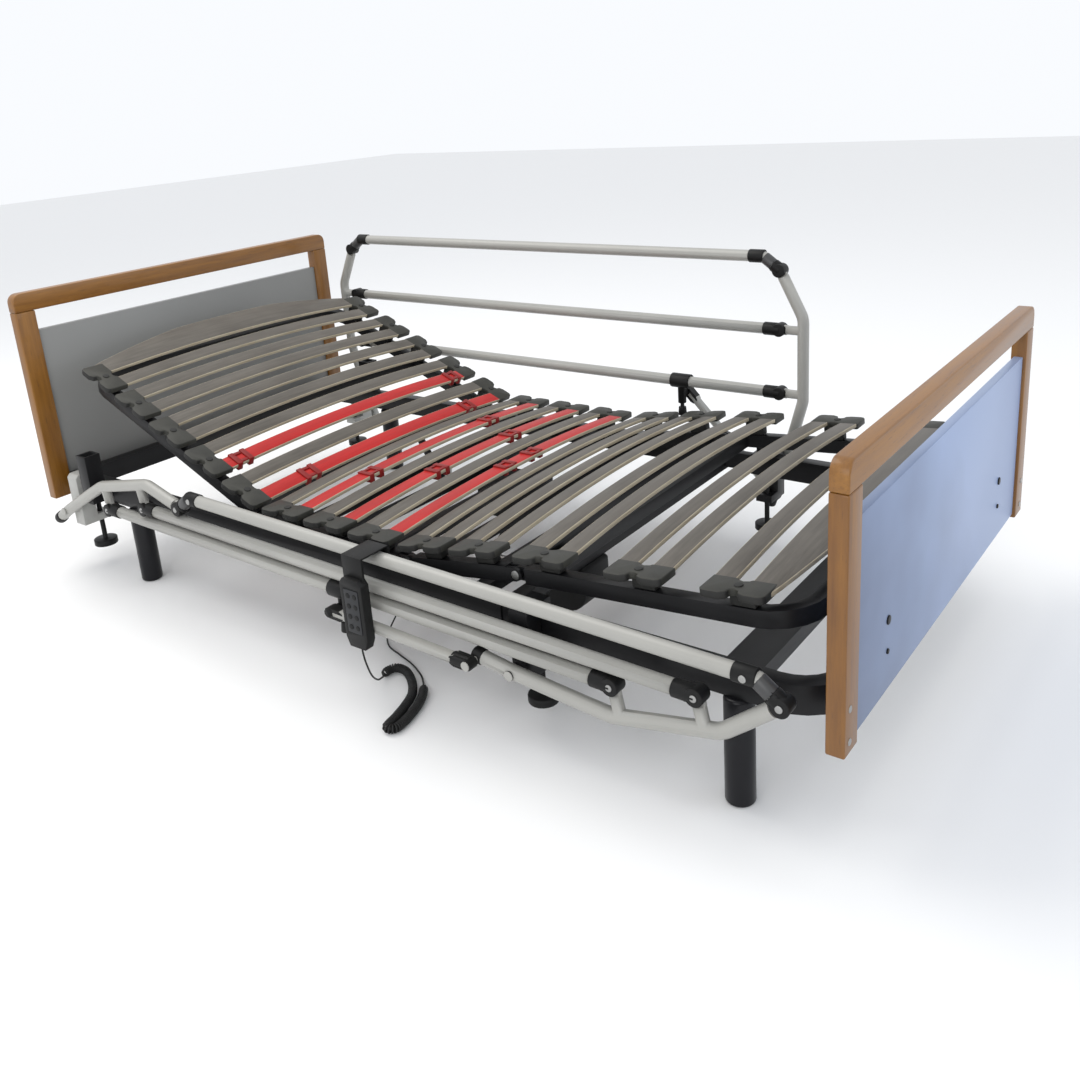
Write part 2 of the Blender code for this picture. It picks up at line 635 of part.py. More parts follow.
    # the strut turns on the foot post's lower end
    low_end = foot + spot(STRUT_FOOT)
    high_end = at + Vector((-math.sin(tilt), -math.cos(tilt))) * CATCH_DROP
    reach = high_end - low_end
    length = reach.length
    heading = -math.atan2(reach.y, reach.x)
    pieces = [tube([(0.012, 0, 0), (length - 0.012, 0, 0)], STRUT_R, sides=12),
              strap((0, 0), (0.03, 0), 0.0110, 0.0008 - STRUT_R, STRUT_R - 0.0008),
              strap((length - 0.03, 0), (length, 0), 0.0110, 0.0008 - STRUT_R, STRUT_R - 0.0008),
              pin_y((length, 0), 0.009, *sorted((0.0, s * (STRUT_R + 0.0016))))]
    cuts = [hole_y((0, 0), STRUT_PIN, -0.02, 0.02)]
    fuse(f"rail_{word}_strut", pieces, cuts, mats["rail"],
         spin_y(heading, low_end.x, s * (RAIL_Y + STRUT_Y), low_end.y))

    for tag, at in (("head", head), ("foot", foot)):
        clamp(f"{tag}_{word}", s, at, mats)


def clamp(name, s, at, mats):
    """A bracket hooked over the base tube, tightened from below, with the post's pivot pin."""
    x, z = at
    top = BASE_BOTTOM + BASE_TUBE_H + GAP
    mid = BASE_OUTER_Y - BASE_TUBE_W / 2
    outline = [(CLAMP_OUT, CLAMP_BOTTOM), (CLAMP_OUT, CLAMP_TOP - 0.008), (CLAMP_OUT - 0.008, CLAMP_TOP),
               (mid - 0.0135, CLAMP_TOP), (mid - 0.0135, top), (BASE_OUTER_Y + 0.0025, top),
               (BASE_OUTER_Y + 0.0025, CLAMP_BOTTOM + 0.018), (mid - 0.018, CLAMP_BOTTOM + 0.018),
               (mid - 0.018, CLAMP_BOTTOM)]
    body = prism([(s * a, b) for a, b in outline], x - CLAMP_W / 2, x + CLAMP_W / 2, "X")
    ends = sorted((s * (CLAMP_OUT - 0.01), s * (RAIL_Y + RAIL_R + 0.0012)))
    pin = pin_y((x, z), PIVOT_R, *ends)
    washer = pin_y((x, z), 0.013, *sorted((s * (CLAMP_OUT - 0.01), s * (RAIL_Y - RAIL_R - 0.0005))), sides=16)
    head = pin_y((x, z), 0.010, *sorted((s * (RAIL_Y + RAIL_R + 0.0003), s * (RAIL_Y + RAIL_R + 0.0014))))
    hole = rod((x, s * mid, 0.10), (x, s * mid, 0.17), SCREW_R + GAP, 14)
    fuse("clamp_" + name, [body, pin, washer, head], [hole], mats["clamp"])
    shaft = rod((x, s * mid, 0.066), (x, s * mid, BASE_BOTTOM - 0.0008), SCREW_R, 14)
    knob = rod((x, s * mid, 0.054), (x, s * mid, 0.070), KNOB_R, 20)
    fuse("clamp_screw_" + name, [shaft, knob], mat=mats["black"])


def drives(mats):
    """Two drives under the frame: a fixed housing and a sliding rod with a slotted eye."""
    for word, s, x0, x1, hinge_x, lead, rest, way in (
            ("back", 1, -0.130, 0.045, BACK_X, BACK_LEAD, BACK_REST, -1),
            ("leg", -1, 0.270, 0.410, THIGH_X, THIGH_LEAD, THIGH_REST, 1)):
        y = s * DRIVE_Y
        tip_x = hinge_x + way * LEVER * math.sin(rest - lead)
        tip_z = SECT_Z - LEVER * math.cos(rest - lead)
        low_z = SECT_Z - LEVER
        high_z = SECT_Z - LEVER * math.cos(lead)
        mid_z = (low_z + high_z) / 2
        outline = [(x0, DRIVE_BOTTOM + 0.02), (x0, DRIVE_TOP), (x1 - 0.004, DRIVE_TOP), (x1, DRIVE_TOP - 0.006)]
        for i in range(7):
            ang = -math.pi / 2 * i / 6
            outline.append((x1 - 0.05 + 0.05 * math.cos(ang), DRIVE_BOTTOM + 0.05 + 0.05 * math.sin(ang)))
        outline.append((x0 + 0.02, DRIVE_BOTTOM))
        body = prism(outline, y - DRIVE_W / 2, y + DRIVE_W / 2)
        mouth = x0
        deep = x1 - 0.012
        bore = rod((mouth - 0.01, y, mid_z), (deep, y, mid_z), ROD_R + 0.0005, 14)
        fuse(f"drive_{word}_housing", [body], [bore], mats["drive"])
        reach = 0.250 if way < 0 else 0.215
        stem = rod((tip_x + 0.012, y, mid_z), (tip_x + reach, y, mid_z), ROD_R, 14)
        half_slot = (high_z - low_z) / 2 + PIN_R + 0.002
        plate = box(tip_x - 0.0165, tip_x + 0.0165, y - 0.005, y + 0.005,
                    mid_z - half_slot - 0.008, mid_z + half_slot + 0.008)
        slot = box(tip_x - PIN_R - 0.0024, tip_x + PIN_R + 0.0024, y - 0.02, y + 0.02,
                   mid_z - half_slot, mid_z + half_slot)
        fuse(f"drive_{word}_rod", [plate, stem], [slot], mats["steel"])


def smooth_route(points, count):
    """A smooth curve through the route's points, read at even steps."""
    pts = [Vector(p) for p in points]
    pts = [2 * pts[0] - pts[1], *pts, 2 * pts[-1] - pts[-2]]
    out = []
    spans = len(pts) - 3
    for i in range(count):
        t = i / (count - 1) * spans
        k = min(int(t), spans - 1)
        f = t - k
        a, b, c, d = pts[k:k + 4]
        out.append(0.5 * ((2 * b) + (c - a) * f + (2 * a - 5 * b + 4 * c - d) * f * f
                          + (3 * b - a - 3 * c + d) * f ** 3))
    return out


def cord(name, points, r, count, mats):
    curve = bpy.data.curves.new(name, "CURVE")
    curve.dimensions = "3D"
    curve.bevel_depth = r
    curve.bevel_resolution = 2
    curve.use_fill_caps = True
    spline = curve.splines.new("POLY")
    route = smooth_route(points, count)
    spline.points.add(len(route) - 1)
    for p, co in zip(spline.points, route):
        p.co = (*co, 1)
    curve.materials.append(mats["black"])
    ob = bpy.data.objects.new(name, curve)
    bpy.context.scene.collection.objects.link(ob)


def handset(pivot, mats):
    """The handset hangs from the folded rail's top bar by a hook."""
    bar_z = pivot[1] + ELBOW_D * math.cos(FOLD + NEAR_TILT) + LINK[1]
    run = SET_X - pivot[0] - ELBOW_D * math.sin(FOLD + NEAR_TILT)
    bar_z -= run * math.tan(NEAR_TILT)
    inner = -(RAIL_Y + STRUT_Y + STRUT_R + 0.0030)
    outer = inner - SET_T
    x0 = SET_X - SET_W / 2
    x1 = SET_X + SET_W / 2
    body = prism([(x0 + 0.008, SET_LOW), (x1 - 0.008, SET_LOW), (x1, SET_LOW + 0.02), (x1, bar_z - 0.03),
                  (x1 - 0.008, bar_z - 0.02), (x0 + 0.008, bar_z - 0.02), (x0, bar_z - 0.03),
                  (x0, SET_LOW + 0.02)], outer, inner)
    clear = RAIL_R + 0.0008
    top = bar_z + clear
    hook = [box(SET_X - 0.016, SET_X + 0.016, inner - 0.006, -(RAIL_Y - clear - 0.005), top, top + 0.005),
            box(SET_X - 0.016, SET_X + 0.016, -(RAIL_Y - clear), -(RAIL_Y - clear - 0.005),
                bar_z - 0.008, top + 0.004),
            box(SET_X - 0.016, SET_X + 0.016, inner - 0.0055, inner - 0.0005, bar_z - 0.03, top + 0.0045)]
    pad_mid = bar_z - 0.085
    well = prism([(x0 + 0.009, pad_mid - 0.045), (x1 - 0.009, pad_mid - 0.045),
                  (x1 - 0.009, pad_mid + 0.045), (x0 + 0.009, pad_mid + 0.045)], outer - 0.01, outer + 0.004)
    pad = prism([(x0 + 0.010, pad_mid - 0.044), (x1 - 0.010, pad_mid - 0.044),
                 (x1 - 0.010, pad_mid + 0.044), (x0 + 0.010, pad_mid + 0.044)], outer - 0.0014, outer + 0.0018)
    fuse("handset_keypad", [pad], mat=mats["button"])
    fuse("handset", [body, *hook], [well], mats["black"])
    y = (inner + outer) / 2
    lead, coil, tail = cord_routes(y)
    cord("handset_lead", lead, CORD_R, 16, mats)
    cord("handset_coil", coil, COIL_R, 30, mats)
    cord("handset_tail", tail, CORD_R, 30, mats)


def cord_routes(y):
    """The lead to the floor, the curly stretch lying there, and the tail to the back drive."""
    lead = [(SET_X, y, SET_LOW - 0.0013), (SET_X, y, 0.124), (0.153, -0.560, 0.097),
            (0.142, -0.541, 0.058), (0.124, -0.512, 0.027), (0.1085, -0.4850, 0.0130)]
    floor = COIL_R + 0.0007
    coil = [(0.1070, -0.4825, 0.0125), (0.0965, -0.4600, floor), (0.1050, -0.4420, floor),
            (0.1325, -0.4425, floor), (0.1688, -0.4648, floor), (0.1985, -0.4961, floor),
            (0.2153, -0.5331, floor), (0.2266, -0.5716, floor), (0.2300, -0.5900, floor),
            (0.2330, -0.5990, floor), (0.2405, -0.6025, floor), (0.2480, -0.5990, floor),
            (0.2510, -0.5900, floor), (0.2490, -0.5680, floor), (0.2390, -0.5300, floor),
            (0.2250, -0.4980, floor), (0.2085, -0.4740, floor), (0.1945, -0.4595, floor)]
    tail = [(0.1930, -0.4580, 0.0095), (0.1850, -0.4500, 0.0050), (0.1585, -0.4289, CORD_R + 0.0004),
            (0.1134, -0.4074, CORD_R + 0.0004), (0.0665, -0.3941, CORD_R + 0.0008),
            (0.0199, -0.3792, CORD_R + 0.0014), (-0.0150, -0.3450, 0.0080), (-0.0300, -0.2900, 0.0400),
            (-0.0350, -0.2450, 0.0950), (-0.0350, -0.2150, 0.1280), (-0.0350, -DRIVE_SIDE - 0.0013, 0.1330)]
    return lead, coil, tail


def main():
    wipe()
    mats = {
        "wood": material("oak", (0.42, 0.20, 0.06), 0.45),
        "panel": material("laminate", (0.62, 0.66, 0.74), 0.35),
        "frame": material("black_enamel", (0.03, 0.03, 0.03), 0.4, 0.3),
        "leg": material("leg_black", (0.02, 0.02, 0.022), 0.35),
        "slat": material("slat", (0.24, 0.22, 0.20), 0.5),
        "rail": material("grey_enamel", (0.62, 0.61, 0.57), 0.35),
        "black": material("black_plastic", (0.015, 0.015, 0.015), 0.45),
        "clamp": material("white_enamel", (0.7, 0.7, 0.68), 0.4),
        "drive": material("drive_black", (0.018, 0.018, 0.02), 0.5),
        "steel": material("steel", (0.55, 0.55, 0.56), 0.3, 1.0),
        "button": material("button_grey", (0.35, 0.36, 0.38), 0.5),
    }
    board(-1, HEAD_HEIGHT, mats)
    board(1, FOOT_HEIGHT, mats)
    base(mats)
    sections(mats)
    slat_pairs(mats)
    rail("far", 1, FAR_PIVOT, 0.0, 0.0, mats)
    rail("near", -1, NEAR_PIVOT, FOLD, NEAR_TILT, mats)
    drives(mats)
    handset(NEAR_PIVOT, mats)


main()
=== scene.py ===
"""Adjustable slatted care bed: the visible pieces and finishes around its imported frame."""
import json
import math

import bmesh
import bpy
from bpy.props import FloatProperty, FloatVectorProperty, PointerProperty
from mathutils import Matrix, Vector


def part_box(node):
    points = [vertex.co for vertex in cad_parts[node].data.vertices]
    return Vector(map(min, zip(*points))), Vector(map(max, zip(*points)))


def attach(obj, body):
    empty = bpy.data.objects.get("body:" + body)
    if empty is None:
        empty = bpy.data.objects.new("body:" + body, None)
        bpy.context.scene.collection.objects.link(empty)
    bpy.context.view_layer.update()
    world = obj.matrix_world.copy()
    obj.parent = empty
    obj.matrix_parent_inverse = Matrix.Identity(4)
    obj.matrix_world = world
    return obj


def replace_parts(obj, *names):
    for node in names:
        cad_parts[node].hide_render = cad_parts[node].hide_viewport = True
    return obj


bl_info = {
    "name": "Adjustable Slatted Bed",
    "version": (1, 0, 0),
    "blender": (4, 5, 0),
    "location": "View3D > Sidebar > Bed",
    "description": "Builds the slats, boards, rails and fittings of an adjustable bed",
    "category": "Object",
}

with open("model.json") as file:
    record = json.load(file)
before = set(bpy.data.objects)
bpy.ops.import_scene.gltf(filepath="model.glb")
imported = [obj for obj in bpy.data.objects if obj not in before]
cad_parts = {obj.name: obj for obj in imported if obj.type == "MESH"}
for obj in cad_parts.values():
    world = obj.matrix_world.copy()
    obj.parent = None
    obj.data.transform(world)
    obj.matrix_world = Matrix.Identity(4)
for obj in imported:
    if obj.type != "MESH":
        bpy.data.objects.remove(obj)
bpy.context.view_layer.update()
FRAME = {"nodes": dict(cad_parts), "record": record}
NODES = FRAME["nodes"]
RECORD = FRAME["record"]
JOINTS = {j["name"]: j for j in RECORD["behaviour"]["joints"]}
NODE_BODY = {n: b for b, ns in RECORD["behaviour"]["bodies"].items() for n in ns}
SIDES = (("near", -1), ("far", 1))


# ---------------------------------------------------------------- materials

class Wire:
    """A shader socket that takes part in arithmetic."""

    def __init__(self, paint, socket):
        self.paint = paint
        self.socket = socket

    def _math(self, operation, first, second, clamp=False):
        return self.paint.node("ShaderNodeMath", {"operation": operation, "use_clamp": clamp},
                               {0: first, 1: second})

    def __add__(self, other):
        return self._math("ADD", self, other)

    __radd__ = __add__

    def __sub__(self, other):
        return self._math("SUBTRACT", self, other)

    def __rsub__(self, other):
        return self._math("SUBTRACT", other, self)

    def __mul__(self, other):
        return self._math("MULTIPLY", self, other)

    __rmul__ = __mul__

    def above(self, level):
        """One where the value is over the level, else nothing."""
        return self._math("GREATER_THAN", self, level)

    def clamped(self):
        """The value kept between nothing and one."""
        return self._math("ADD", self, 0.0, clamp=True)


class Paint:
    """One material being mixed."""

    def __init__(self, name):
        self.material = bpy.data.materials.new(name)
        self.material.use_nodes = True
        self.tree = self.material.node_tree
        self.shader = self.tree.nodes["Principled BSDF"]
        self.place = self.node("ShaderNodeTexCoord", {}, {}, "Object")

    def node(self, kind, settings, inputs, output=0):
        """Add a shader node, fill its inputs and hand back one output."""
        made = self.tree.nodes.new(kind)
        for key, value in settings.items():
            setattr(made, key, value)
        for key, value in inputs.items():
            self.plug(made.inputs[key], value)
        return Wire(self, made.outputs[output])

    def plug(self, socket, value):
        """Link a wire to a socket, or set the socket's own value."""
        if isinstance(value, Wire):
            self.tree.links.new(value.socket, socket)
        else:
            socket.default_value = value

    def noise(self, scale, detail=4.0, rough=0.55, stretch=(1, 1, 1)):
        """Noise in the object's own space, stretched along its axes."""
        turned = self.node("ShaderNodeMapping", {}, {"Vector": self.place, "Scale": stretch}, "Vector")
        return self.node("ShaderNodeTexNoise", {}, {"Vector": turned, "Scale": scale, "Detail": detail,
                                                    "Roughness": rough}, "Fac")

    def ramp(self, fac, stops):
        """A colour read off (position, colour) stops."""
        made = self.tree.nodes.new("ShaderNodeValToRGB")
        band = made.color_ramp
        while len(band.elements) < len(stops):
            band.elements.new(0.5)
        for element, (at, colour) in zip(band.elements, stops):
            element.position = at
            element.color = (*colour, 1)
        self.plug(made.inputs["Fac"], fac)
        return Wire(self, made.outputs["Color"])

    def mix(self, fac, a, b):
        """The first colour where fac is nothing, the second where it is one."""
        made = self.tree.nodes.new("ShaderNodeMix")
        made.data_type = "RGBA"
        self.plug(made.inputs[0], fac)
        for index, value in ((6, a), (7, b)):
            self.plug(made.inputs[index], value if isinstance(value, Wire) else (*value, 1))
        return Wire(self, made.outputs[2])

    def bump(self, height, strength, distance):
        """Fine relief from a height."""
        normal = self.node("ShaderNodeBump", {}, {"Height": height, "Strength": strength,
                                                  "Distance": distance}, "Normal")
        self.plug(self.shader.inputs["Normal"], normal)

    def finish(self, **values):
        """Set the shader's inputs by name and hand back the material."""
        for key, value in values.items():
            socket = self.shader.inputs[key.replace("_", " ")]
            if isinstance(value, tuple) and len(value) == 3:
                value = (*value, 1)
            self.plug(socket, value)
        return self.material


def oak(name, along):
    """Lacquered oak with its grain along one axis."""
    paint = Paint(name)
    squeeze = [1.0, 1.0, 1.0]
    squeeze["XYZ".index(along)] = 0.07
    grain = paint.noise(95, 6, 0.62, squeeze)
    broad = paint.noise(14, 3, 0.5, squeeze)
    pores = paint.noise(420, 2, 0.5, squeeze)
    tone = (grain * 0.55 + broad * 0.45).clamped()
    colour = paint.ramp(tone, ((0.30, (0.115, 0.040, 0.003)), (0.48, (0.190, 0.075, 0.006)),
                               (0.68, (0.265, 0.112, 0.010))))
    colour = paint.mix(pores.above(0.66) * 0.45, colour, (0.09, 0.035, 0.007))
    paint.bump(grain, 0.12, 0.0006)
    return paint.finish(Base_Color=colour, Roughness=0.36 + grain * 0.16, Coat_Weight=0.25)


def laminate(name, light, dark, painted_light_slope=0.0):
    """Satin board with a faint fine texture, painted lighter towards the far side and the top by the slope:
    a painted light gradient.
    """
    paint = Paint(name)
    cloud = paint.noise(3.0, 3, 0.5)
    fine = paint.noise(900, 2, 0.5)
    split = paint.tree.nodes.new("ShaderNodeSeparateXYZ")
    paint.plug(split.inputs[0], paint.place)
    # Painted light: the slope makes the colour lighter towards +Y and upwards, a painted light gradient
    # across the board.
    lean = Wire(paint, split.outputs["Y"]) * painted_light_slope + Wire(paint, split.outputs["Z"]) * painted_light_slope
    colour = paint.mix((cloud * 1.2 - 0.2 + lean).clamped(), dark, light)
    paint.bump(fine, 0.05, 0.0003)
    return paint.finish(Base_Color=colour, Roughness=0.34 + fine * 0.08)


def enamel(name, colour, dull, rough, peel=0.06, shine=0.5):
    """Baked enamel on steel: slight orange peel and a little dust."""
    paint = Paint(name)
    dust = paint.noise(9, 4, 0.6)
    skin = paint.noise(700, 2, 0.5)
    tone = paint.mix((dust * 1.6 - 0.35).clamped(), colour, dull)
    paint.bump(skin, peel, 0.0004)
    return paint.finish(Base_Color=tone, Roughness=rough + dust * 0.12, Specular_IOR_Level=shine)


def moulded(name, colour, dull, rough, shine=0.3):
    """Moulded plastic or rubber with a fine grain."""
    paint = Paint(name)
    grain = paint.noise(1100, 2, 0.6)
    wear = paint.noise(22, 4, 0.6)
    tone = paint.mix((wear * 1.5 - 0.4).clamped(), colour, dull)
    paint.bump(grain, 0.18, 0.0003)
    return paint.finish(Base_Color=tone, Roughness=rough + wear * 0.12, Specular_IOR_Level=shine)


def film(name, light, dark, rough=0.42):
    """The printed film on a slat, streaked across the bed."""
    paint = Paint(name)
    streak = paint.noise(150, 4, 0.6, (1, 0.05, 1))
    cloud = paint.noise(7, 3, 0.5)
    tone = (streak * 0.6 + cloud * 0.4).clamped()
    colour = paint.ramp(tone, ((0.32, dark), (0.66, light)))
    paint.bump(streak, 0.08, 0.0004)
    return paint.finish(Base_Color=colour, Roughness=rough + streak * 0.1, Specular_IOR_Level=0.28)


def layered(name):
    """The bare edge of a slat: beech layers with dark glue lines."""
    paint = Paint(name)
    streak = paint.noise(220, 4, 0.6, (1, 0.04, 1))
    colour = paint.ramp(streak, ((0.3, (0.30, 0.25, 0.17)), (0.7, (0.44, 0.39, 0.29))))
    paint.bump(streak, 0.1, 0.0004)
    return paint.finish(Base_Color=colour, Roughness=0.6 + streak * 0.1)


def bright(name, colour, rough):
    """Zinc-plated or polished steel."""
    paint = Paint(name)
    scratch = paint.noise(400, 3, 0.6, (1, 1, 0.2))
    tone = paint.mix(scratch, colour, scaled(colour, 0.8))
    return paint.finish(Base_Color=tone, Roughness=rough + scratch * 0.12, Metallic=1.0)


def scaled(colour, factor):
    """A colour made lighter or darker."""
    return tuple(min(1, c * factor) for c in colour)


def make_finishes(context):
    """Every material of the bed by the name its pieces ask for."""
    tint = context.scene.bed_colours
    return {
        "oak_post": oak("oak_post", "Z"),
        "oak_rail": oak("oak_rail", "Y"),
        "head_panel": laminate("head_panel", (0.235, 0.235, 0.225), (0.195, 0.196, 0.190)),
        # Foot panel: the blue colours are painted sky reflection, and the slope of 1.1 adds painted shade,
        # dark at the near lower part and light at the far upper part; the board's own colour is the grey of
        # the head panel.
        "foot_panel": laminate("foot_panel", (0.270, 0.350, 0.540), (0.100, 0.122, 0.185), 1.1),
        "black": enamel("black_enamel", (0.006, 0.006, 0.007), (0.012, 0.012, 0.013), 0.34, 0.06, 0.22),
        "leg": enamel("leg_enamel", (0.005, 0.005, 0.007), (0.010, 0.010, 0.012), 0.24, 0.04, 0.25),
        "rail": enamel("rail_enamel", tuple(tint.rail), scaled(tint.rail, 0.9), 0.26, 0.03),
        "white": enamel("white_enamel", (0.42, 0.42, 0.40), (0.33, 0.33, 0.31), 0.36),
        "grey_film": film("grey_film", (0.120, 0.108, 0.092), (0.068, 0.060, 0.050)),
        "red_film": film("red_film", scaled(tint.red, 1.15), scaled(tint.red, 0.8), 0.36),
        "beech": layered("beech_edge"),
        "rubber": moulded("holder_rubber", (0.024, 0.024, 0.020), (0.046, 0.045, 0.037), 0.46),
        "rubber_end": moulded("holder_end", (0.014, 0.014, 0.013), (0.028, 0.028, 0.026), 0.55),
        "plastic": moulded("black_plastic", (0.006, 0.006, 0.006), (0.013, 0.013, 0.013), 0.4, 0.2),
        "red_plastic": moulded("clip_red", (0.23, 0.010, 0.009), (0.15, 0.008, 0.007), 0.4),
        "zinc": bright("zinc", (0.40, 0.40, 0.39), 0.3),
        "link": enamel("link_enamel", (0.035, 0.035, 0.036), (0.055, 0.055, 0.055), 0.3),
        "keys": moulded("key_grey", (0.022, 0.023, 0.025), (0.034, 0.035, 0.038), 0.5),
        "wire": moulded("cord_black", (0.010, 0.010, 0.010), (0.018, 0.018, 0.018), 0.42),
    }


FINISH = {}     # every material by its name, filled once the settings exist


# ---------------------------------------------------------------- modelling helpers

def placed(name, data):
    """A new object of the scene around the given data."""
    ob = bpy.data.objects.new(name, data)
    bpy.context.scene.collection.objects.link(ob)
    return ob


def piece(name, bm, finishes, body, smooth=40):
    """Name a finished mesh, give it its materials and its body."""
    mesh = bpy.data.meshes.new(name)
    bm.to_mesh(mesh)
    bm.free()
    for finish in [finishes] if isinstance(finishes, str) else finishes:
        mesh.materials.append(FINISH[finish])
    mesh.shade_smooth()
    mesh.set_sharp_from_angle(angle=math.radians(smooth))
    ob = placed(name, mesh)
    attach(ob, body)
    return ob


def rounded(bm, edges, width, segments, material=-1):
    """Round the given edges; the new faces keep their neighbours' material or take the one named."""
    bmesh.ops.bevel(bm, geom=edges, offset=width, offset_type="OFFSET", segments=segments, profile=0.5,
                    affect="EDGES", clamp_overlap=True, material=material)
    return bm


def bevelled(bm, width, segments=2, sharp=30):
    """Round the edges that turn more than the given angle."""
    edges = [e for e in bm.edges if len(e.link_faces) == 2 and e.calc_face_angle() > math.radians(sharp)]
    return rounded(bm, edges, width, segments)


def block(lo, hi, width, segments=2):
    """A box between two corners, its edges rounded by width."""
    bm = bmesh.new()
    lo = Vector(lo)
    hi = Vector(hi)
    size = Matrix.Diagonal((*(hi - lo), 1))
    bmesh.ops.create_cube(bm, size=1, matrix=Matrix.Translation((lo + hi) / 2) @ size)
    return bevelled(bm, width, segments) if width else bm


def shaft(a, b, r, sides, width):
    """A round bar from a to b, its rims rounded by width."""
    a = Vector(a)
    b = Vector(b)
    bm = bmesh.new()
    turn = (b - a).to_track_quat("Z", "Y").to_matrix().to_4x4()
    bmesh.ops.create_cone(bm, cap_ends=True, segments=sides, radius1=r, radius2=r,
                          depth=(b - a).length, matrix=Matrix.Translation((a + b) / 2) @ turn)
    return bevelled(bm, width, 3, 50)


def merged(*parts):
    """One bmesh out of several."""
    whole = parts[0]
    for other in parts[1:]:
        mesh = bpy.data.meshes.new("part")
        other.to_mesh(mesh)
        other.free()
        whole.from_mesh(mesh)
        bpy.data.meshes.remove(mesh)
    return whole


def refined(node, finish, width, smooth=40, spots=()):
    """A frame node's own shape with its edges rounded; faces near a spot take the second finish."""
    bm = bmesh.new()
    bm.from_mesh(NODES[node].data)
    bmesh.ops.remove_doubles(bm, verts=bm.verts, dist=0.00002)
    bmesh.ops.dissolve_limit(bm, angle_limit=math.radians(0.5), verts=bm.verts, edges=bm.edges)
    if width:
        bevelled(bm, width, 2, 35)
    for face in bm.faces:
        middle = face.calc_center_median()
        face.material_index = int(any((middle - at).length < reach for at, reach in spots))
    ob = piece(node + "_shell", bm, finish, NODE_BODY[node], smooth=smooth)
    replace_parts(ob, node)


def tilted(turn, at, bm):
    """Turn a mesh drawn flat about +Y and put its origin at the hinge."""
    bmesh.ops.transform(bm, verts=bm.verts, matrix=Matrix.Translation(at) @ Matrix.Rotation(turn, 4, "Y"))
    return bm


# ---------------------------------------------------------------- settings

class BedColours(bpy.types.PropertyGroup):
    """Colours a user would change."""
    rail: FloatVectorProperty(name="Rail enamel", description="Colour of the side rails", subtype="COLOR",
                              default=(0.36, 0.355, 0.33), min=0, max=1)
    red: FloatVectorProperty(name="Firm slats", description="Colour of the firm slats", subtype="COLOR",
                             default=(0.40, 0.009, 0.008), min=0, max=1)


class BedSizes(bpy.types.PropertyGroup):
    """Sizes a user would change."""
    slat_width: FloatProperty(name="Slat width", description="Width of one slat", unit="LENGTH",
                              default=0.038)
    slat_thick: FloatProperty(name="Slat thickness", description="Thickness of one slat", unit="LENGTH",
                              default=0.008)
    slat_half: FloatProperty(name="Slat reach", description="From the middle to a slat's end", unit="LENGTH",
                             default=0.432)
    camber: FloatProperty(name="Camber", description="Rise of a slat's middle", unit="LENGTH", default=0.022)
    slat_lift: FloatProperty(name="Slat height", description="Slat above the section frame's middle",
                             unit="LENGTH", default=0.048)
    post_width: FloatProperty(name="Post width", description="Width of an end board's post", unit="LENGTH",
                              default=0.050)
    rail_depth: FloatProperty(name="Rail depth", description="Depth of an end board's top rail",
                              unit="LENGTH", default=0.046)


# ---------------------------------------------------------------- stage

CAMERA_AT = (1.506, -1.709, 1.111)
CAMERA_YAW = math.radians(37.65)
CAMERA_PITCH = math.radians(17.04)
CAMERA_ROLL = math.radians(-4.05)
FLOOR_HALF = 14
FLOOR_COLOUR = (0.86, 0.86, 0.86)
# Each lamp's name, place, target, size, power and colour.
LAMPS = (("key", (-1.6, -0.5, 3.4), (0, 0, 0.3), 2.6, 62, (1.0, 0.97, 0.92)),
         ("window", (4.2, 1.5, 2.2), (0.9, 0, 0.3), 2.4, 26, (0.80, 0.89, 1.0)),
         ("fill", (1.2, -3.6, 1.8), (0, 0, 0.3), 2.4, 32, (1.0, 1.0, 1.0)))


class BED_OT_stage(bpy.types.Operator):
    """Floor, soft lights and the camera"""
    bl_idname = "bed.stage"
    bl_label = "Stage"

    def execute(self, context):
        bm = bmesh.new()
        bmesh.ops.create_grid(bm, x_segments=1, y_segments=1, size=FLOOR_HALF)
        mesh = bpy.data.meshes.new("floor")
        bm.to_mesh(mesh)
        bm.free()
        white = Paint("floor_white").finish(Base_Color=FLOOR_COLOUR, Roughness=0.9, Specular_IOR_Level=0.1)
        mesh.materials.append(white)
        floor = placed("floor", mesh)
        world = bpy.data.worlds.new("studio")
        world.use_nodes = True
        back = world.node_tree.nodes["Background"]
        back.inputs["Color"].default_value = (0.95, 0.97, 1.0, 1)
        back.inputs["Strength"].default_value = 1.0
        context.scene.world = world
        context.scene.view_settings.view_transform = "Standard"
        for name, at, aim, size, power, colour in LAMPS:
            lamp = bpy.data.lights.new(name, "AREA")
            lamp.size = size
            lamp.energy = power
            lamp.color = colour
            ob = placed(name, lamp)
            ob.location = at
            ob.rotation_mode = "QUATERNION"
            ob.rotation_quaternion = (Vector(aim) - Vector(at)).to_track_quat("-Z", "Y")
        self.camera(context)
        return {"FINISHED"}

    def camera(self, context):
        """The camera, turned by its yaw, pitch and roll."""
        lens = bpy.data.cameras.new("camera")
        lens.sensor_width = 36
        lens.lens = 34.63
        lens.shift_x = -0.0042
        lens.shift_y = -0.1245
        level = math.cos(CAMERA_PITCH)
        ahead = Vector((-math.sin(CAMERA_YAW) * level, math.cos(CAMERA_YAW) * level,
                        -math.sin(CAMERA_PITCH)))
        right = Vector((math.cos(CAMERA_YAW), math.sin(CAMERA_YAW), 0))
        up = right.cross(ahead)
        side = math.cos(CAMERA_ROLL) * right + math.sin(CAMERA_ROLL) * up
        top = math.cos(CAMERA_ROLL) * up - math.sin(CAMERA_ROLL) * right
        turn = Matrix((side, top, -ahead)).transposed().to_4x4()
        ob = placed("camera", lens)
        ob.matrix_world = Matrix.Translation(CAMERA_AT) @ turn
        context.scene.camera = ob


# ---------------------------------------------------------------- end boards

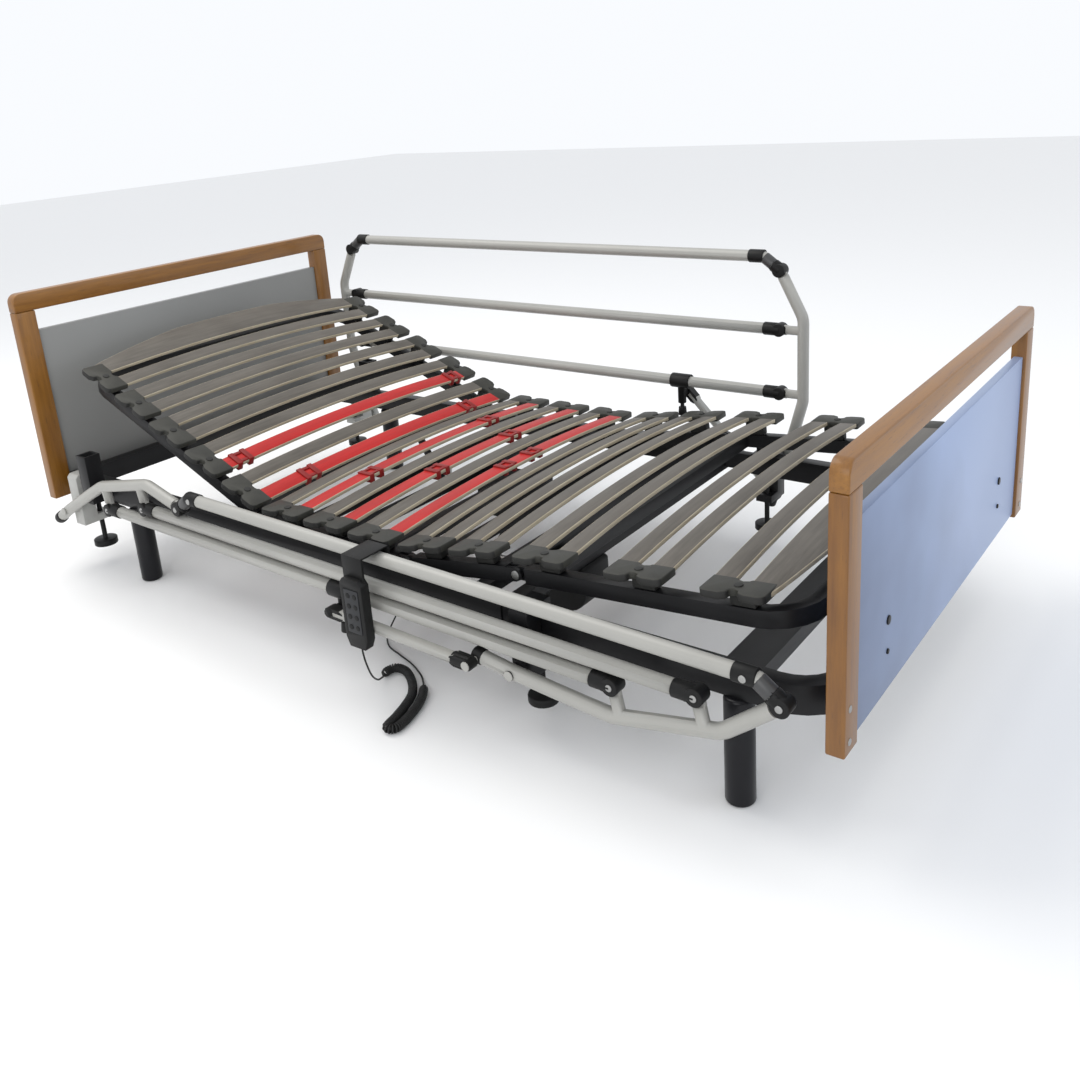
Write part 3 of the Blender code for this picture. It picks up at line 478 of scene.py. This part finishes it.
POST_ROUND = 0.0028
TOP_CORNER = 0.022
PANEL_BOLT_Y = 0.315
PANEL_BOLTS = ((0.315, 0.0075), (0.262, 0.0045))    # height and radius
POST_FACE = 1.056
POST_BOLT_Y = 0.482
POST_BOLT_Z = (0.205, 0.258)
POST_BOLT_R = 0.0055
BOLT_HEADS = {"black": (0.0025, 24, 0.0012), "zinc": (0.0012, 20, 0.0008)}    # height, sides and rounding


class BED_OT_boards(bpy.types.Operator):
    """Headboard and footboard: oak posts and rails around a laminate panel"""
    bl_idname = "bed.boards"
    bl_label = "End boards"

    def execute(self, context):
        sizes = context.scene.bed_sizes
        for tag, way in (("head", -1), ("foot", 1)):
            self.surround(sizes, tag, tag + "board_frame")
            lo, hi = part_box(tag + "board_panel")
            panel = piece(f"{tag}_panel", block(lo, hi, 0.0012), f"{tag}_panel", "base")
            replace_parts(panel, tag + "board_panel")
            panel_face = way * max(abs(lo.x), abs(hi.x))
            for word, s in SIDES:
                for z, r in PANEL_BOLTS:
                    at = (panel_face, s * PANEL_BOLT_Y, z)
                    self.bolt(f"{tag}_bolt_{word[0]}", way, at, r, "black")
            for word, s in SIDES:
                for z in POST_BOLT_Z:
                    at = (way * POST_FACE, s * POST_BOLT_Y, z)
                    self.bolt(f"{tag}_post_bolt_{word[0]}", way, at, POST_BOLT_R, "zinc")
        return {"FINISHED"}

    def surround(self, sizes, tag, node):
        """Two posts and the top rail that lies on them, its upper corners well rounded."""
        lo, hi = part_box(node)
        under = hi.z - sizes.rail_depth
        posts = []
        for word, s in SIDES:
            y0, y1 = sorted((s * hi.y, s * (hi.y - sizes.post_width)))
            post = block((lo.x, y0, lo.z), (hi.x, y1, under), POST_ROUND, 3)
            posts.append(piece(f"{tag}_post_{word}", post, "oak_post", "base"))
        rail = block((lo.x, lo.y, under + 0.0003), (hi.x, hi.y, hi.z), 0)
        corners = [e for e in rail.edges if all(v.co.z > hi.z - 0.001 for v in e.verts)
                   and abs(e.verts[0].co.y - e.verts[1].co.y) < 0.001]
        rounded(rail, corners, TOP_CORNER, 6)
        bevelled(rail, POST_ROUND, 3, 40)
        piece(f"{tag}_top_rail", rail, "oak_rail", "base", smooth=50)
        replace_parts(posts[0], node)

    def bolt(self, name, way, at, r, finish):
        """A low round bolt head on the board's outer face."""
        proud, sides, width = BOLT_HEADS[finish]
        x, y, z = at
        head = shaft((x - way * 0.001, y, z), (x + way * proud, y, z), r, sides, width)
        piece(f"{name}_{int(z * 1000)}", head, finish, "base")


# ---------------------------------------------------------------- frames

STEEL_ROUND = 0.0016
PIVOTS = ((0.417, 0.2814, "thigh"), (0.140, 0.240, "base"), (-0.292, 0.240, "base"))    # x, z and body
PIVOT_Y = 0.4178
SPLICE_X = (0.438, 0.455)
SPLICE_Y = 0.446
SPLICE_Z = 0.212


class BED_OT_frames(bpy.types.Operator):
    """Base frame, legs, section frames, drives and their rods"""
    bl_idname = "bed.frames"
    bl_label = "Frames"

    def execute(self, context):
        for node in ("base_head_half", "base_foot_half", "seat_frame", "back_frame", "thigh_frame",
                     "leg_frame"):
            refined(node, "black", STEEL_ROUND)
        for corner in ("head_near", "head_far", "foot_near", "foot_far"):
            lo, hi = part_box("leg_" + corner)
            mid = (lo + hi) / 2
            tube = shaft((mid.x, mid.y, 0), (mid.x, mid.y, hi.z), (hi.x - lo.x) / 2, 40, 0.006)
            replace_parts(piece("leg_tube_" + corner, tube, "leg", "base", smooth=50), "leg_" + corner)
        for word in ("back", "leg"):
            refined(f"drive_{word}_housing", "plastic", 0.004)
            refined(f"drive_{word}_rod", "zinc", 0.0006)
        for x, z, body in PIVOTS:
            for word, s in SIDES:
                y = s * PIVOT_Y
                cap = shaft((x, y - s * 0.002, z), (x, y + s * 0.0016, z), 0.0085, 24, 0.0008)
                piece(f"pivot_cap_{word}_{int((x + 1) * 1000)}", cap, "zinc", body)
        for word, s in SIDES:
            for x in SPLICE_X:
                y = s * SPLICE_Y
                bolt = shaft((x, y, SPLICE_Z), (x, y + s * 0.007, SPLICE_Z), 0.006, 6, 0.0008)
                piece(f"splice_bolt_{word}_{int(x * 1000)}", bolt, "zinc", "base")
        return {"FINISHED"}


# ---------------------------------------------------------------- slats

PAIR_STEP = 0.132
PAIR_HALF = 0.033
FLARED_WIDTH = 0.085
HOLDER_DEEP = 0.0132
STEM_Y = 0.405
RING_Y = 0.4225
CLIP_SPREAD = {8: 0.362, 10: 0.276, 12: 0.208, 14: 0.132, 16: 0.048}    # firm slat and its clips' reach


def section_places():
    """Where each section's own flat frame sits: (turn about +Y, hinge point)."""
    back = Vector(JOINTS["back_tilt"]["pos_m"])
    thigh = Vector(JOINTS["thigh_tilt"]["pos_m"])
    knee = Vector(JOINTS["knee_tilt"]["pos_m"])
    rise = math.atan2(knee.z - thigh.z, knee.x - thigh.x)
    return {"back": (math.radians(22.75), back), "seat": (0.0, back), "thigh": (-rise, thigh),
            "leg": (-rise * 0.55, knee)}


def slat_rows():
    """Each pair of slats: its node, section, middle along the section and the side of its wide slat."""
    rows = []
    for number, u in enumerate((-0.585, -0.453, -0.321, -0.189, -0.057), 1):
        rows.append((f"slats_{number:02d}_back", "back", u, -1 if number == 1 else 0))
    rows += [(f"slats_{i + 6:02d}_seat", "seat", 0.100 + PAIR_STEP * i, 0) for i in range(3)]
    rows += [(f"slats_{i + 9:02d}_thigh", "thigh", 0.079 + PAIR_STEP * i, 0) for i in range(2)]
    rows += [(f"slats_{i + 11:02d}_leg", "leg", u, 1 if i == 2 else 0)
             for i, u in enumerate((0.079, 0.270, 0.4475))]
    return rows


def arch(sizes, y):
    """The height of a slat's middle layer over the section, at a place across the bed."""
    t = y / sizes.slat_half
    return sizes.slat_lift + sizes.camber * (1 - t * t)


def slat_mesh(sizes, u, end):
    """An arched strip: film on both faces, bare beech at the edges; a wide one flares."""
    bm = bmesh.new()
    bmesh.ops.create_cube(bm, size=1, matrix=Matrix.Diagonal(
        (sizes.slat_width, 2 * sizes.slat_half, sizes.slat_thick, 1)))
    cuts = [e for e in bm.edges if abs(e.verts[0].co.y - e.verts[1].co.y) > 0.1]
    bmesh.ops.subdivide_edges(bm, edges=cuts, cuts=27, use_grid_fill=True)
    for face in bm.faces:
        face.material_index = 1 if abs(face.normal.z) < 0.5 else 0
    rims = [e for e in bm.edges if len(e.link_faces) == 2 and e.calc_face_angle() > 1.0]
    rounded(bm, rims, 0.0014, 2, 1)
    for v in bm.verts:
        if end and v.co.x * end > 0:
            inset = 1 - abs(v.co.y / sizes.slat_half)
            v.co.x += end * (FLARED_WIDTH - sizes.slat_width) * min(1.0, 1.6 * inset) ** 0.8
        v.co.x += u
        v.co.z += arch(sizes, v.co.y)
    return bm


def holder_mesh(u, s, low):
    """A rubber holder with a pocket for each slat and an arch between them."""
    half = PAIR_HALF
    lobe = 0.021
    inn = 0.398
    out = 0.455
    outline = [(-half - lobe, inn), (-half - lobe, out - 0.008), (-half - lobe + 0.004, out - 0.002),
               (-half - lobe + 0.010, out), (-half + lobe - 0.008, out), (-half + lobe - 0.003, out - 0.003),
               (-0.009, out - 0.006), (-0.008, out - 0.016), (0, out - 0.020), (0.008, out - 0.016),
               (0.009, out - 0.008), (half - lobe + 0.004, out - 0.005), (half - lobe + 0.009, out - 0.003),
               (half + lobe - 0.010, out - 0.003), (half + lobe - 0.003, out - 0.006),
               (half + lobe, out - 0.012), (half + lobe, inn), (half - lobe, inn),
               (0.009, inn + 0.005), (0, inn + 0.008), (-0.009, inn + 0.005), (-half + lobe, inn)]
    bm = bmesh.new()
    face = bm.faces.new([bm.verts.new((u + x, s * y, low)) for x, y in outline])
    grown = bmesh.ops.extrude_face_region(bm, geom=[face])["geom"]
    top = [g for g in grown if isinstance(g, bmesh.types.BMVert)]
    bmesh.ops.translate(bm, vec=(0, 0, HOLDER_DEEP), verts=top)
    bmesh.ops.recalc_face_normals(bm, faces=bm.faces)
    bevelled(bm, 0.0022, 2, 40)
    for f in bm.faces:
        if abs(f.normal.z) < 0.4 and f.calc_center_median().y * s > out - 0.014:
            f.material_index = 1
    return bm


class BED_OT_slats(bpy.types.Operator):
    """Sprung slats, their rubber holders and the firmness clips"""
    bl_idname = "bed.slats"
    bl_label = "Slats"

    def execute(self, context):
        sizes = context.scene.bed_sizes
        places = section_places()
        low = sizes.slat_lift - 0.0058
        for row, (node, section, u, end) in enumerate(slat_rows()):
            turn, hinge = places[section]
            ride = "base" if section == "seat" else section
            slats = []
            for k, side in enumerate((-1, 1)):
                number = 2 * row + k + 1
                middle = u + side * PAIR_HALF
                cover = "red_film" if number in CLIP_SPREAD else "grey_film"
                mesh = tilted(turn, hinge, slat_mesh(sizes, middle, end if side == end else 0))
                slats.append(piece(f"slat_{number:02d}", mesh, (cover, "beech"), ride, smooth=50))
                if number in CLIP_SPREAD:
                    self.clips(sizes, number, middle, turn, hinge, ride)
            for word, s in SIDES:
                mesh = tilted(turn, hinge, holder_mesh(u, s, low))
                piece(f"holder_{row + 1:02d}_{word}", mesh, ("rubber", "rubber_end"), ride, smooth=45)
                y = s * STEM_Y
                stem = block((u - 0.022, y - 0.011, 0.0155), (u + 0.022, y + 0.011, low + 0.002), 0.003)
                ring = shaft((u, s * RING_Y, low + 0.010), (u, s * RING_Y, low + 0.0150), 0.0075, 24, 0.001)
                mesh = tilted(turn, hinge, merged(stem, ring))
                piece(f"holder_stem_{row + 1:02d}_{word}", mesh, "rubber_end", ride)
            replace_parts(slats[0], node)
        return {"FINISHED"}

    def clips(self, sizes, number, u, turn, hinge, ride):
        """Two sliding clips, each of two bands around a firm slat and two ribs between them."""
        half = sizes.slat_width / 2 + 0.0014
        # The last firm slat has its neighbour close on its foot side.
        foot = half - 0.006 if number == max(CLIP_SPREAD) else half
        thick = sizes.slat_thick / 2 + 0.0035
        for word, s in SIDES:
            y = s * CLIP_SPREAD[number]
            parts = []
            for mid in (y - 0.015, y + 0.015):
                lift = arch(sizes, mid)
                parts.append(block((u - half, mid - 0.0065, lift - thick - 0.005),
                                   (u + foot, mid + 0.0065, lift + thick), 0.0012))
            top = arch(sizes, y) + thick
            for x in (-half + 0.003, half - 0.011):
                parts.append(block((u + x, y - 0.010, top - 0.003),
                                   (u + x + 0.008, y + 0.010, top - 0.0006), 0.0006))
            piece(f"clip_{number:02d}_{word}", tilted(turn, hinge, merged(*parts)), "red_plastic", ride)


# ---------------------------------------------------------------- side rails

BARS = ("top_bar", "middle_bar", "lower_bar")
BAR_SPAN = 1.42
BAR_LEAN = {"near": math.radians(1.0), "far": 0.0}      # a bar's fall towards the foot
FOLDED = {"near": math.radians(77.5), "far": 0.0}       # a post's turn from upright
# Each post's lower end from its pivot when upright, and the joint at that pivot.
POSTS = {"head_post": ((0.0210, -0.058), "rail_fold"), "foot_post": ((-0.0286, -0.080), "foot_post_turn")}
STRUT_R = 0.011
SLEEVE_R = 0.0155
EYE_HALF = 0.0140


def bar_line(word):
    """The direction of a rail's bars, from the head to the foot."""
    lean = BAR_LEAN[word]
    return Vector((math.cos(lean), 0, -math.sin(lean)))


class BED_OT_rails(bpy.types.Operator):
    """Folding side rails with their fittings, catches, struts and clamps"""
    bl_idname = "bed.rails"
    bl_label = "Side rails"

    def execute(self, context):
        for word, s in SIDES:
            run = bar_line(word) * BAR_SPAN
            for post in POSTS:
                refined(f"rail_{word}_{post}", "rail", 0.0, 50)
            for bar in BARS:
                at = Vector(JOINTS[f"{word}_{bar}_turn"]["pos_m"])
                refined(f"rail_{word}_{bar}", ("rail", "plastic"), 0.0, 50,
                        ((at, 0.036), (at + run, 0.036)))
            low = Vector(JOINTS[f"{word}_strut_turn"]["pos_m"])
            lo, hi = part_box(f"rail_{word}_strut")
            top = Vector((lo.x + hi.x - low.x, low.y, lo.z + hi.z - low.z))
            refined(f"rail_{word}_strut", ("rail", "plastic"), 0.0, 50, ((low, 0.034), (top, 0.034)))
            refined(f"rail_{word}_catch", "plastic", 0.0008)
            refined(f"rail_{word}_plunger", "plastic", 0.0015)
            for tag, finish in (("head", "white"), ("foot", "black")):
                refined(f"clamp_{tag}_{word}", finish, 0.0014)
                refined(f"clamp_screw_{tag}_{word}", "plastic", 0.0022)
            self.bar_ends(word, s)
            self.post_ends(word, s)
            self.strut_sleeve(word)
        return {"FINISHED"}

    def bar_ends(self, word, s):
        """A black sleeve around each end of each bar, with a bright rivet at its joint."""
        along = bar_line(word)
        across = Vector((0, 1, 0))
        over = Vector((-along.z, 0, along.x))
        for bar in BARS:
            joint = Vector(JOINTS[f"{word}_{bar}_turn"]["pos_m"])
            body = f"{word}_{bar}"
            for tag, way, at in (("head", 1, joint), ("foot", -1, joint + along * BAR_SPAN)):
                inward = along * way
                if bar == "top_bar":
                    corner = at + inward * 0.042 + over * 0.031
                    link = (corner - at).normalized()
                    sleeve = shaft(corner + inward * 0.034, corner - inward * 0.004, SLEEVE_R, 28, 0.0016)
                    neck = shaft(at + link * 0.020, corner - link * 0.004, 0.0140, 28, 0.002)
                    piece(f"{body}_{tag}_link", neck, "link", body, smooth=50)
                    tip = shaft(at - link * 0.002, at + link * 0.020, 0.0152, 28, 0.0016)
                    self.rivet(f"{body}_{tag}_rivet_2", corner + inward * 0.014, s, 0.0150, body)
                    whole = merged(sleeve, tip)
                else:
                    whole = shaft(at - inward * 0.002, at + inward * 0.040, SLEEVE_R, 28, 0.0016)
                eye = shaft(at - across * EYE_HALF, at + across * EYE_HALF, 0.0156, 28, 0.0018)
                piece(f"{body}_{tag}_sleeve", merged(whole, eye), "plastic", body, smooth=50)
                self.rivet(f"{body}_{tag}_rivet", at, s, 0.0139, body)

    def post_ends(self, word, s):
        """The pivot head on each post and the black cap on its lower end."""
        across = Vector((0, s, 0))
        angle = FOLDED[word] + BAR_LEAN[word]
        for post, ((x, z), joint) in POSTS.items():
            at = Vector(JOINTS[f"{word}_{joint}"]["pos_m"])
            head = shaft(at + across * 0.0150, at + across * 0.0166, 0.0095, 24, 0.0008)
            piece(f"{word}_{post}_pivot", head, "rail", "base", smooth=50)
            down = Vector((x * math.cos(angle) + z * math.sin(angle), 0,
                           -x * math.sin(angle) + z * math.cos(angle)))
            tip = at + down
            unit = down.normalized()
            cap = shaft(tip - unit * 0.020, tip + unit * 0.0016, 0.0150, 28, 0.003)
            piece(f"{word}_{post}_cap", cap, "plastic", f"{word}_{post}", smooth=50)

    def strut_sleeve(self, word):
        """The black sleeve around the strut's lower joint."""
        low = Vector(JOINTS[f"{word}_strut_turn"]["pos_m"])
        lo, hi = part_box(f"rail_{word}_strut")
        rise = Vector((lo.x - hi.x + 2 * STRUT_R, 0, hi.z - lo.z - 2 * STRUT_R))
        if abs(lo.z + STRUT_R - low.z) > abs(hi.z - STRUT_R - low.z):
            rise.z = -rise.z
        rise.normalize()
        foot = shaft(low - rise * 0.002, low + rise * 0.036, 0.0125, 28, 0.0014)
        piece(f"{word}_strut_sleeve", foot, "plastic", f"{word}_strut", smooth=50)

    def rivet(self, name, at, s, proud, body):
        """A round head on the outer side of a joint."""
        across = Vector((0, s, 0))
        head = shaft(at + across * (proud - 0.001), at + across * (proud + 0.0014), 0.0062, 20, 0.0010)
        piece(name, head, "zinc", body, smooth=50)


# ---------------------------------------------------------------- handset and cord

KEYPAD_PROUD = 0.0014
KEY_ROWS = 4
KEY_STEP = 0.0213
KEY_SIDE = 0.0085
STRAP_HALF = 0.026
CORD_R = 0.0018
CURL_R = 0.0074
CURL_PITCH = 0.0046
CURL_EASE = 0.020
CURL_STEP = 0.0003
CURL_Z = 0.0102
HANG_X = 0.155
HANG_LOW = 0.124
# The cord hangs from the handset, lies on the floor as a doubled curly stretch, and runs to the drive.
LEAD = ((0.153, -0.560, 0.097), (0.142, -0.541, 0.058), (0.124, -0.512, 0.027), (0.1085, -0.4850, 0.0130))
CURL_START = (0.1070, -0.4825, 0.0125)
CURL = ((0.0965, -0.4600), (0.1050, -0.4420), (0.1325, -0.4425), (0.1688, -0.4648), (0.1985, -0.4961),
        (0.2153, -0.5331), (0.2266, -0.5716), (0.2300, -0.5900), (0.2330, -0.5990), (0.2405, -0.6025),
        (0.2480, -0.5990), (0.2510, -0.5900), (0.2490, -0.5680), (0.2390, -0.5300), (0.2250, -0.4980),
        (0.2085, -0.4740), (0.1945, -0.4595))
TAIL = ((0.1930, -0.4580, 0.0095), (0.1850, -0.4500, 0.0050), (0.1585, -0.4289, 0.0034),
        (0.1134, -0.4074, 0.0034), (0.0665, -0.3941, 0.0038), (0.0199, -0.3792, 0.0044),
        (-0.0150, -0.3450, 0.0080), (-0.0300, -0.2900, 0.0400), (-0.0350, -0.2450, 0.0950),
        (-0.0350, -0.2150, 0.1280), (-0.0350, -0.2013, 0.1330))


def smooth_route(points, count):
    """A smooth curve through the route's points, as a line of count points."""
    pts = [Vector(p) for p in points]
    pts = [2 * pts[0] - pts[1], *pts, 2 * pts[-1] - pts[-2]]
    out = []
    spans = len(pts) - 3
    for i in range(count):
        t = i / (count - 1) * spans
        k = min(int(t), spans - 1)
        f = t - k
        a, b, c, d = pts[k:k + 4]
        out.append(0.5 * ((2 * b) + (c - a) * f + (2 * a - 5 * b + 4 * c - d) * f * f
                          + (3 * b - a - 3 * c + d) * f ** 3))
    return out


def even(points, step):
    """The same line with its points a step apart."""
    out = [points[0]]
    left = step
    for a, b in zip(points, points[1:]):
        run = (b - a).length
        at = left
        while at <= run:
            out.append(a.lerp(b, at / run))
            at += step
        left = at - run
    if (points[-1] - out[-1]).length < step / 2:
        out.pop()
    out.append(points[-1])
    return out


def curled(spine):
    """A coil around the spine that eases out to a straight wire at both ends."""
    path = []
    angle = 0.0
    last = len(spine) - 1
    for i, p in enumerate(spine):
        ahead = (spine[min(i + 1, last)] - spine[max(i - 1, 0)]).normalized()
        side = ahead.cross(Vector((0, 0, 1))).normalized()
        up = side.cross(ahead)
        ease = min(1.0, min(i, last - i) * CURL_STEP / CURL_EASE)
        ease = ease * ease * (3 - 2 * ease)
        angle += math.tau * CURL_STEP / CURL_PITCH * ease
        path.append(p + (side * math.cos(angle) + up * math.sin(angle)) * CURL_R * ease)
    return path


class BED_OT_handset(bpy.types.Operator):
    """Handset, its hook and keys, and its cord"""
    bl_idname = "bed.handset"
    bl_label = "Handset"

    def execute(self, context):
        refined("handset", "plastic", 0.0022)
        refined("handset_keypad", "keys", 0.0008)
        lo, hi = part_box("handset_keypad")
        front = lo.y + KEYPAD_PROUD
        self.hanger(front)
        for row in range(KEY_ROWS):
            for word, col in (("l", -1), ("r", 1)):
                x = (lo.x + hi.x) / 2 + col * KEY_SIDE
                z = lo.z + 0.012 + row * KEY_STEP
                key = shaft((x, lo.y + 0.001, z), (x, lo.y - 0.0010, z), 0.0055, 24, 0.0007)
                piece(f"key_{row + 1}_{word}", key, "plastic", "keypad")
        self.lay_cord(front)
        return {"FINISHED"}

    def hanger(self, front):
        """The wide strap that hooks the handset over the bar."""
        lo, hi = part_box("handset")
        mid = (lo.x + hi.x) / 2
        spans = ((front + 0.011, hi.y + 0.001, hi.z - 0.0008),
                 (front + 0.010, front + 0.0155, hi.z - 0.055),
                 (hi.y - 0.0045, hi.y + 0.001, hi.z - 0.028))
        parts = [block((mid - STRAP_HALF, y0, z0), (mid + STRAP_HALF, y1, hi.z + 0.003), 0.0012)
                 for y0, y1, z0 in spans]
        piece("handset_hanger", merged(*parts), "plastic", "near_top_bar")

    def lay_cord(self, front):
        """The cord from the handset's lower end to the back drive."""
        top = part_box("handset")[0].z - 0.0013
        hang_y = front + 0.010
        lead = ((HANG_X, hang_y, top), (HANG_X, hang_y, HANG_LOW), *LEAD)
        coil = (CURL_START, *((x, y, CURL_Z) for x, y in CURL))
        path = even(smooth_route(lead, 60), 0.004)
        path += curled(even(smooth_route(coil, 400), CURL_STEP))
        path += even(smooth_route(TAIL, 120), 0.005)
        curve = bpy.data.curves.new("handset_cord", "CURVE")
        curve.dimensions = "3D"
        curve.bevel_depth = CORD_R
        curve.bevel_resolution = 2
        curve.use_fill_caps = True
        spline = curve.splines.new("POLY")
        spline.points.add(len(path) - 1)
        for point, co in zip(spline.points, path):
            point.co = (*co, 1)
        curve.materials.append(FINISH["wire"])
        cord = placed("handset_cord", curve)
        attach(cord, "base")
        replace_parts(cord, "handset_lead", "handset_coil", "handset_tail")
        length = sum((b - a).length for a, b in zip(path, path[1:]))


# ---------------------------------------------------------------- the add-on

class BED_PT_panel(bpy.types.Panel):
    """Lists the bed's operators, colours and sizes"""
    bl_label = "Bed"
    bl_idname = "BED_PT_panel"
    bl_space_type = "VIEW_3D"
    bl_region_type = "UI"
    bl_category = "Bed"

    def draw(self, context):
        for operator in OPERATORS:
            self.layout.operator(operator.bl_idname)
        for group in (context.scene.bed_colours, context.scene.bed_sizes):
            for key in group.__annotations__:
                self.layout.prop(group, key)


OPERATORS = (BED_OT_stage, BED_OT_handset, BED_OT_boards, BED_OT_frames, BED_OT_slats, BED_OT_rails)
CLASSES = (BedColours, BedSizes, *OPERATORS, BED_PT_panel)


def register():
    """Add the classes and the scene's settings."""
    for cls in CLASSES:
        bpy.utils.register_class(cls)
    bpy.types.Scene.bed_colours = PointerProperty(type=BedColours)
    bpy.types.Scene.bed_sizes = PointerProperty(type=BedSizes)


def unregister():
    """Take the settings and the classes away again."""
    del bpy.types.Scene.bed_sizes
    del bpy.types.Scene.bed_colours
    for cls in reversed(CLASSES):
        bpy.utils.unregister_class(cls)


def main():
    """Build the whole bed."""
    register()
    FINISH.update(make_finishes(bpy.context))
    for operator in OPERATORS:
        group, name = operator.bl_idname.split(".")
        getattr(getattr(bpy.ops, group), name)()


if __name__ == "__main__":
    main()
